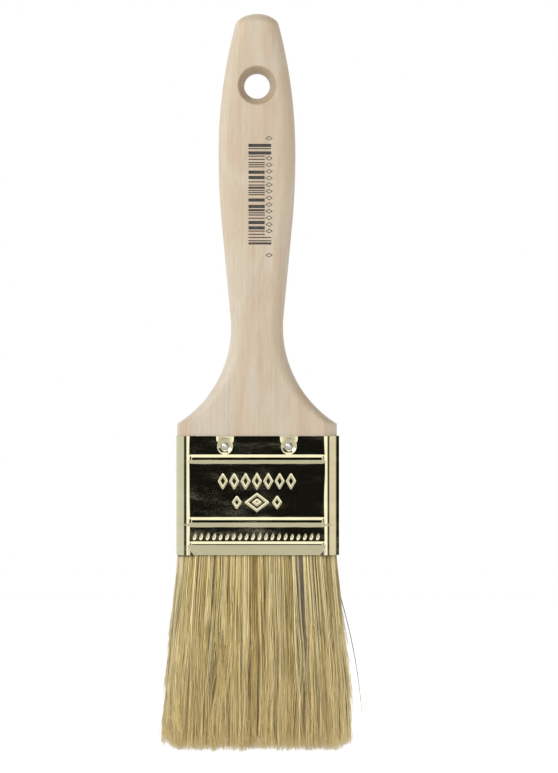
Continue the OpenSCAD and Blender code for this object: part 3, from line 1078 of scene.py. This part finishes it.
def make_ferrule(material):
    """The formed sheet: its outer side from the mouth up, then its inner side back down."""
    outer = ferrule_sheet(ferrule_rows(), 0.0)
    inner_rows = np.arange(FERRULE_TOP_Z, NAIL_Z - DIMPLE_R - INNER_MARGIN, -INNER_STEP)
    inner_rows = np.append(inner_rows, [BEAD_2[0], LIP_CREST_Z, MOUTH_Z])
    inner = ferrule_sheet(inner_rows, SHEET_T, formed=False)
    points = np.concatenate([outer, inner])
    rows, columns, _ = points.shape
    faces = grid_faces(rows, columns, close_rows=True, close_columns=True)
    piece = make_piece("formed_ferrule", points, [faces])
    piece.data.set_sharp_from_angle(angle=math.radians(50))
    finish_ferrule_piece(piece, material)


# ------------------------ bristle

def in_mouth(x, y):
    """Distance inside the rounded outline of the ferrule's mouth, negative outside it."""
    dx = np.abs(x) - (MOUTH_HALF_W - MOUTH_CORNER_R)
    dy = np.abs(y) - (MOUTH_HALF_T - MOUTH_CORNER_R)
    outside = np.hypot(np.maximum(dx, 0.0), np.maximum(dy, 0.0))
    return MOUTH_CORNER_R - outside - np.minimum(np.maximum(dx, dy), 0.0)


def hair_roots(rng):
    """Places in the mouth where hairs stand, closest together near its edge, where they show."""
    x = rng.uniform(-MOUTH_HALF_W, MOUTH_HALF_W, ROOT_TRIES)
    y = rng.uniform(-MOUTH_HALF_T, MOUTH_HALF_T, ROOT_TRIES)
    inside = in_mouth(x, y)
    keep = (inside > 0) & (rng.uniform(size=ROOT_TRIES) < np.where(inside < RIND, 1.0, INNER_DENSITY))
    return x[keep][:HAIR_COUNT], y[keep][:HAIR_COUNT]


def gather(rng, x, y, count, blur):
    """Which of so many random gathering points in the mouth each hair leans to, and where that is."""
    centre_x = rng.uniform(-MOUTH_HALF_W, MOUTH_HALF_W, count)
    centre_y = rng.uniform(-MOUTH_HALF_T, MOUTH_HALF_T, count)
    blurred_x = x + rng.normal(0.0, blur, len(x))
    blurred_y = y + rng.normal(0.0, blur, len(x))
    nearest = ((blurred_x[:, None] - centre_x) ** 2 + (blurred_y[:, None] - centre_y) ** 2).argmin(1)
    return nearest, np.stack([centre_x[nearest], centre_y[nearest]])


def waves(rng, down, lengths, amplitude):
    """Sideways waves along each row of depths, in x and y, that start from nothing at the mouth."""
    rows = len(down)
    wave_length = rng.uniform(*lengths, (2, rows, 1))
    phase = rng.uniform(0.0, 2.0 * math.pi, (2, rows, 1))
    size = rng.normal(0.0, amplitude, (2, rows, 1)) * np.clip(down / FREE_LENGTH, 0.0, 1.0)
    return size * np.sin(2.0 * math.pi * down / wave_length + phase)


def hair_lengths(rng, x, lock):
    """Free length of every hair: near full, a little ragged, and shorter at the corners."""
    count = len(x)
    corner_drop = CORNER_DROP * smoothstep(CORNER_FROM, 1.0, np.abs(x) / MOUTH_HALF_W)
    ragged = np.abs(rng.normal(0.0, RAGGED, count)) + rng.exponential(RAGGED_TAIL, count)
    ragged = ragged + rng.uniform(0.0, RAGGED_LOCK, LOCK_COUNT)[lock]
    straggler = rng.uniform(size=count) < STRAGGLER_SHARE
    short = np.where(straggler, rng.uniform(*STRAGGLER_SHORT, count), 0.0)
    return FREE_LENGTH + LONGEST_PAST_TIP - corner_drop - ragged - short


def fan(out):
    """Share of its full width that the bundle has opened to, at a share of its length."""
    opened = np.clip(out / OPEN_BY, 0.0, 1.0)
    return opened * (1.0 + OPEN_EARLY - OPEN_EARLY * opened)


def hair_paths(rng, x, y):
    """Middle points of every hair from inside the mouth to its tip, and the lock it belongs to.

    Hairs gather into locks, and locks into tufts, more and more towards the tips.
    """
    count = len(x)
    tuft, tuft_centre = gather(rng, x, y, TUFT_COUNT, TUFT_BLUR)
    lock, lock_centre = gather(rng, x, y, LOCK_COUNT, LOCK_BLUR)
    length = hair_lengths(rng, x, lock)
    share = np.linspace(0.0, 1.0, HAIR_RINGS)
    down = -HAIR_INSIDE + (length + HAIR_INSIDE)[:, None] * share
    out = np.clip(down / FREE_LENGTH, 0.0, None)
    gathered = smoothstep(GATHER_FROM, GATHER_BY, out)
    gathered = gathered + TIP_GATHER * smoothstep(TIP_GATHER_FROM, 1.0, out)
    start = np.stack([x, y])
    pull = rng.uniform(*LOCK_PULL, LOCK_COUNT)[lock] * rng.uniform(*HAIR_PULL, count)
    to_lock = (lock_centre - start) * pull
    to_tuft = (tuft_centre - start) * rng.uniform(*TUFT_PULL, TUFT_COUNT)[tuft]
    spread = np.array([TIP_HALF_W / MOUTH_HALF_W, TIP_HALF_T / MOUTH_HALF_T])[:, None, None] - 1.0
    lock_down = np.broadcast_to(share * FREE_LENGTH, (LOCK_COUNT, HAIR_RINGS))
    lock_wave = waves(rng, lock_down, *LOCK_WAVE)[:, lock]
    own_wave = waves(rng, down, *HAIR_WAVE)
    own_bend = rng.normal(0.0, HAIR_BEND, (2, count, 1)) * out ** 2
    place = start[..., None] * (1.0 + spread * fan(out))
    place = place + to_lock[..., None] * gathered + to_tuft[..., None] * gathered * out
    place = place + lock_wave + own_wave + own_bend
    return np.stack([place[0], place[1], MOUTH_Z - down], -1), lock


def hair_tones(rng, x, y, lock):
    """Tone and greyness of each hair: mostly golden, some pale, some brown, and a few smoky streaks.

    Hairs deep inside the bundle are darkened as painted shade between the hairs, and its two side edges
    are paler as painted light through thin hairs, the left one most.
    """
    count = len(x)
    tone = rng.normal(*TONE, count) + rng.normal(0.0, LOCK_TONE_SPREAD, LOCK_COUNT)[lock]
    chance = rng.uniform(size=count)
    tone = np.where(chance < BROWN_SHARE, rng.uniform(*BROWN_TONE, count), tone)
    tone = np.where(chance > 1.0 - PALE_SHARE, rng.uniform(*PALE_TONE, count), tone)
    # Painted light: paler, greyer side edges for thin hairs lit through, strongest on the lit left side
    edge = smoothstep(*PALE_EDGE_X, np.abs(x)) * np.where(x < 0, 1.0, RIGHT_EDGE_SHARE)
    # Painted shade: hairs deep inside the bundle get a lower tone, standing for the shade between them
    dulling_and_painted_shade = INNER_SHADE * smoothstep(*INNER_SHADE_DEPTH, in_mouth(x, y))
    tone = np.clip(tone - dulling_and_painted_shade + PALE_EDGE_TONE * edge, 0.0, 1.0)
    greyness = np.clip(rng.normal(*GREYNESS, count) + PALE_EDGE_GREYNESS * edge, 0.0, 1.0)
    for middle, half_w in DARK_STREAKS:
        near = np.exp(-((x - middle) / half_w) ** 2) * np.where(y < 0, 1.0, STREAK_BACK_SHARE)
        smoky = rng.uniform(size=count) < STREAK_CHANCE * near
        greyness = np.where(smoky, rng.uniform(*STREAK_GREYNESS, count), greyness)
        tone = np.where(smoky, rng.uniform(*STREAK_TONE, count), tone)
    return tone, greyness


def hair_tubes(name, paths, radius, tone, greyness, material):
    """Hairs as closed tapering tubes that carry their tone, and a UV map with a column for each hair."""
    count, rings, _ = paths.shape
    along = np.linspace(0.0, 1.0, rings)
    tangent = np.gradient(paths, axis=1)
    tangent /= np.linalg.norm(tangent, axis=-1, keepdims=True)
    side = np.cross(tangent, (0.0, 1.0, 0.0))
    side /= np.linalg.norm(side, axis=-1, keepdims=True)
    other = np.cross(tangent, side)
    taper = 1.0 - (1.0 - HAIR_TIP_SHARE) * smoothstep(HAIR_TAPER_FROM, 1.0, along)
    taper[-1] *= HAIR_END_SHARE
    width = (radius[:, None] * taper)[..., None]
    turn = full_turn(HAIR_SIDES)
    sides = [side * math.cos(angle) * width + other * math.sin(angle) * width for angle in turn]
    points = paths[:, :, None, :] + np.stack(sides, 2)
    per_hair = rings * HAIR_SIDES
    starts = np.arange(count)[:, None, None] * per_hair
    faces = [(part + starts).reshape(-1, part.shape[1]) for part in tube_faces(rings, HAIR_SIDES)]
    piece = make_piece(name, points, faces)
    values = {
        "tone": np.repeat(tone, per_hair),
        "greyness": np.repeat(greyness, per_hair),
        "along": np.tile(np.repeat(along, HAIR_SIDES), count),
    }
    for key, value in values.items():
        layer = piece.data.attributes.new(key, "FLOAT", "POINT")
        layer.data.foreach_set("value", value.astype(np.float32))
    lay_out_hairs(piece.data, count, values["along"], per_hair)
    dress(piece, material)
    return piece


def lay_out_hairs(mesh, count, along, per_hair):
    """A UV map in which each hair has a thin column of its own, in rows of columns."""
    rows = math.ceil(count / HAIR_UV_COLUMNS)
    margin_u, margin_v = HAIR_UV_MARGINS
    layer = mesh.uv_layers.new(name="OFBake")
    vertex = np.zeros(len(mesh.loops), np.int32)
    mesh.loops.foreach_get("vertex_index", vertex)
    hair = vertex // per_hair
    side_share = vertex % HAIR_SIDES / (HAIR_SIDES - 1)
    u = (hair % HAIR_UV_COLUMNS + margin_u + (1.0 - 2.0 * margin_u) * side_share) / HAIR_UV_COLUMNS
    v = (hair // HAIR_UV_COLUMNS + margin_v + (1.0 - 2.0 * margin_v) * along[vertex]) / rows
    layer.data.foreach_set("uv", np.column_stack([u, v]).astype(np.float32).ravel())


def bend_with_bristle(piece):
    """Bakes the piece's placement into its mesh."""
    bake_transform(piece)


def make_bristle(material):
    """The bundle in four quarters, so that each is a mesh of moderate size."""
    rng = np.random.default_rng(SEED)
    x, y = hair_roots(rng)
    paths, lock = hair_paths(rng, x, y)
    tone, greyness = hair_tones(rng, x, y, lock)
    radius = HAIR_ROOT_R * rng.uniform(*HAIR_R_SHARES, len(x))
    quarters = {
        "bristle_front_left": ((y < 0) & (x < 0), "tuft_front"),
        "bristle_front_right": ((y < 0) & (x >= 0), "tuft_front"),
        "bristle_back_left": ((y >= 0) & (x < 0), "tuft_back"),
        "bristle_back_right": ((y >= 0) & (x >= 0), "tuft_back"),
    }
    for name, (chosen, node) in quarters.items():
        piece = hair_tubes(name, paths[chosen], radius[chosen], tone[chosen], greyness[chosen], material)
        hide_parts(node)
        bend_with_bristle(piece)


def long_stray(depth):
    """How far out the one long hair stands that bows away on the right, at a depth below the mouth."""
    down = depth - LONG_STRAY_LEAVES
    return LONG_STRAY_X + LONG_STRAY_SLOPE * down - LONG_STRAY_BOW * down * down


def make_stray_hairs(material):
    """Hairs that stand off the sides of the bundle, the first of them long and bowed."""
    rng = np.random.default_rng(SEED + 1)
    count = STRAY_COUNT
    side = rng.choice([-1.0, 1.0], count)
    leave = rng.uniform(*STRAY_LEAVES, count)
    length = np.minimum(leave + rng.uniform(*STRAY_FREE, count), STRAY_LONGEST)
    lean = rng.exponential(STRAY_LEAN, count) + STRAY_LEAST_LEAN
    share = np.linspace(0.0, 1.0, HAIR_RINGS)
    down = leave[:, None] - STRAY_HIDDEN + (length - leave + STRAY_HIDDEN)[:, None] * share
    edge = MOUTH_HALF_W + (TIP_HALF_W - MOUTH_HALF_W) * fan(down / FREE_LENGTH)
    free_share = np.clip(down - leave[:, None], 0.0, None) / (length - leave)[:, None]
    x = side[:, None] * (edge - STRAY_SUNK + lean[:, None] * free_share ** STRAY_CURVE)
    y = rng.uniform(-STRAY_HALF_T, STRAY_HALF_T, (count, 1))
    y = y + rng.normal(0.0, STRAY_DRIFT, (count, 1)) * share
    tone = rng.uniform(*STRAY_TONE, count)
    greyness = rng.uniform(*STRAY_GREYNESS, count)
    radius = rng.uniform(*STRAY_R, count)
    down[0] = LONG_STRAY_LEAVES + (LONG_STRAY_ENDS - LONG_STRAY_LEAVES) * share
    x[0] = long_stray(down[0])
    tone[0], greyness[0], radius[0] = LONG_STRAY_TONE, 1.0, LONG_STRAY_R
    paths = np.stack([x, y, MOUTH_Z - down], -1)
    piece = hair_tubes("stray_hairs", paths, radius, tone, greyness, material)
    bend_with_bristle(piece)


# ------------------------ studio

def make_camera():
    """A long lens straight in front of the brush."""
    data = bpy.data.cameras.new("camera")
    data.lens = data.sensor_width * CAMERA_DISTANCE / VIEW_HEIGHT
    data.clip_end = FARTHEST_SIGHT
    camera = bpy.data.objects.new("camera", data)
    camera.location = (CAMERA_X * MM, -CAMERA_DISTANCE * MM, CAMERA_Z * MM)
    camera.rotation_euler = (math.radians(90), 0.0, 0.0)
    bpy.context.scene.collection.objects.link(camera)
    bpy.context.scene.camera = camera


def tent_level(tree, direction):
    """Brightness of the light tent in a direction, given as its x, y and z sockets.

    Bright panels in front with a dark port between them, then dark bars, then pale walls. A second
    port stands behind the brush, the ceiling darkens upwards, and flags shade the upper right and
    the lower left.
    """
    x, y, z = direction
    across = math_node(tree, "ABSOLUTE", x)
    ahead = math_node(tree, "MULTIPLY", y, -1.0)
    from_front = math_node(tree, "DEGREES", math_node(tree, "ARCTAN2", across, ahead))
    along = math_node(tree, "ABSOLUTE", y)
    from_axis = math_node(tree, "DEGREES", math_node(tree, "ARCTAN2", across, along))
    up = math_node(tree, "DEGREES", math_node(tree, "ARCSINE", z))
    panel = remap(tree, from_front, *PANEL_FADE, 1.0, BAR_SHARE)
    bar_end = remap(tree, x, -BAR_CHANGE_X, BAR_CHANGE_X, *BAR_ENDS)
    past_bar = math_node(tree, "SUBTRACT", from_front, bar_end)
    wall = remap(tree, past_bar, 0.0, WALL_FADE, 0.0, WALL_SHARE)
    ceiling = remap(tree, up, *CEILING_FADE, 1.0, CEILING_SHARE)
    flag = remap(tree, math_node(tree, "MULTIPLY", x, z), *FLAG_FADE, 1.0, FLAG_SHARE)
    port_x = math_node(tree, "DIVIDE", from_axis, PORT_HALF[0])
    port_z = math_node(tree, "DIVIDE", math_node(tree, "ADD", up, PORT_DROP), PORT_HALF[1])
    port = remap(tree, sum_of_squares(tree, port_x, port_z), *PORT_FADE, PORT_SHARE, 1.0)
    level = math_node(tree, "ADD", panel, wall)
    for factor in (ceiling, port, flag, TENT_LEVEL):
        level = math_node(tree, "MULTIPLY", level, factor)
    return level


def make_world():
    """A light tent round the brush. The camera itself sees plain white."""
    world = bpy.data.worlds.new("light_tent")
    bpy.context.scene.world = world
    world.use_nodes = True
    tree = world.node_tree
    tree.nodes.clear()
    x, y, z = axes_of(tree, "Generated")
    rightness = remap(tree, x, -1.0, 1.0, 0.0, 1.0)
    tint = ramp(tree, rightness, [(0.1, TENT_LEFT_COLOUR), (0.9, TENT_RIGHT_COLOUR)])
    tent = tree.nodes.new("ShaderNodeBackground")
    tree.links.new(tent_level(tree, (x, y, z)), tent.inputs["Strength"])
    tree.links.new(tint, tent.inputs["Color"])
    backdrop = tree.nodes.new("ShaderNodeBackground")
    set_inputs(backdrop, {"Strength": 1.0, "Color": WHITE})
    rays = tree.nodes.new("ShaderNodeLightPath")
    mix = tree.nodes.new("ShaderNodeMixShader")
    output = tree.nodes.new("ShaderNodeOutputWorld")
    tree.links.new(rays.outputs["Is Camera Ray"], mix.inputs["Fac"])
    tree.links.new(tent.outputs["Background"], mix.inputs[1])
    tree.links.new(backdrop.outputs["Background"], mix.inputs[2])
    tree.links.new(mix.outputs["Shader"], output.inputs["Surface"])


def make_key_light():
    """A soft key from the upper left, in front of the brush."""
    data = bpy.data.lights.new("key_light", "AREA")
    data.shape = "RECTANGLE"
    data.size, data.size_y = KEY_SIZE
    data.energy = KEY_POWER
    data.color = KEY_COLOUR
    light = bpy.data.objects.new("key_light", data)
    light.location = KEY_PLACE
    aim = -light.location.normalized()
    light.rotation_euler = aim.to_track_quat("-Z", "Y").to_euler()
    bpy.context.scene.collection.objects.link(light)


def make_floor(material):
    """A wide round floor below the hanging brush."""
    turn = full_turn(FLOOR_CORNERS)
    height = np.full(FLOOR_CORNERS, TIP_Z - FLOOR_DROP)
    rim = np.column_stack([FLOOR_R * np.cos(turn), FLOOR_R * np.sin(turn), height])
    floor = make_piece("floor", rim, [np.arange(FLOOR_CORNERS)[None]])
    dress(floor, material)


# ------------------------ the scene

scene = bpy.context.scene
scene.view_settings.view_transform = "Standard"

make_camera()
make_world()
make_key_light()
make_floor(floor_material())

wood = wood_material()
tinplate = metal_material("tin_plate", (0.455, 0.41, 0.265), 0.045)
bright_steel = metal_material("bright_steel", (0.45, 0.44, 0.41), 0.26)
packed_bristle = packed_bristle_material()
hair = hair_material()

make_handle(wood)
make_print(ink_material())
make_ferrule(tinplate)
make_seam(tinplate)
make_bristle(hair)
make_stray_hairs(hair)

for nail in ("nail_front_left", "nail_front_right", "nail_back_left", "nail_back_right"):
    dress(cad_nodes[nail], bright_steel)
for roots in ("bristle_roots_front", "bristle_roots_back"):
    dress(cad_nodes[roots], packed_bristle)
dress(cad_nodes["epoxy_set"], resin_material())
dress(cad_nodes["spacer_plug"], wood)
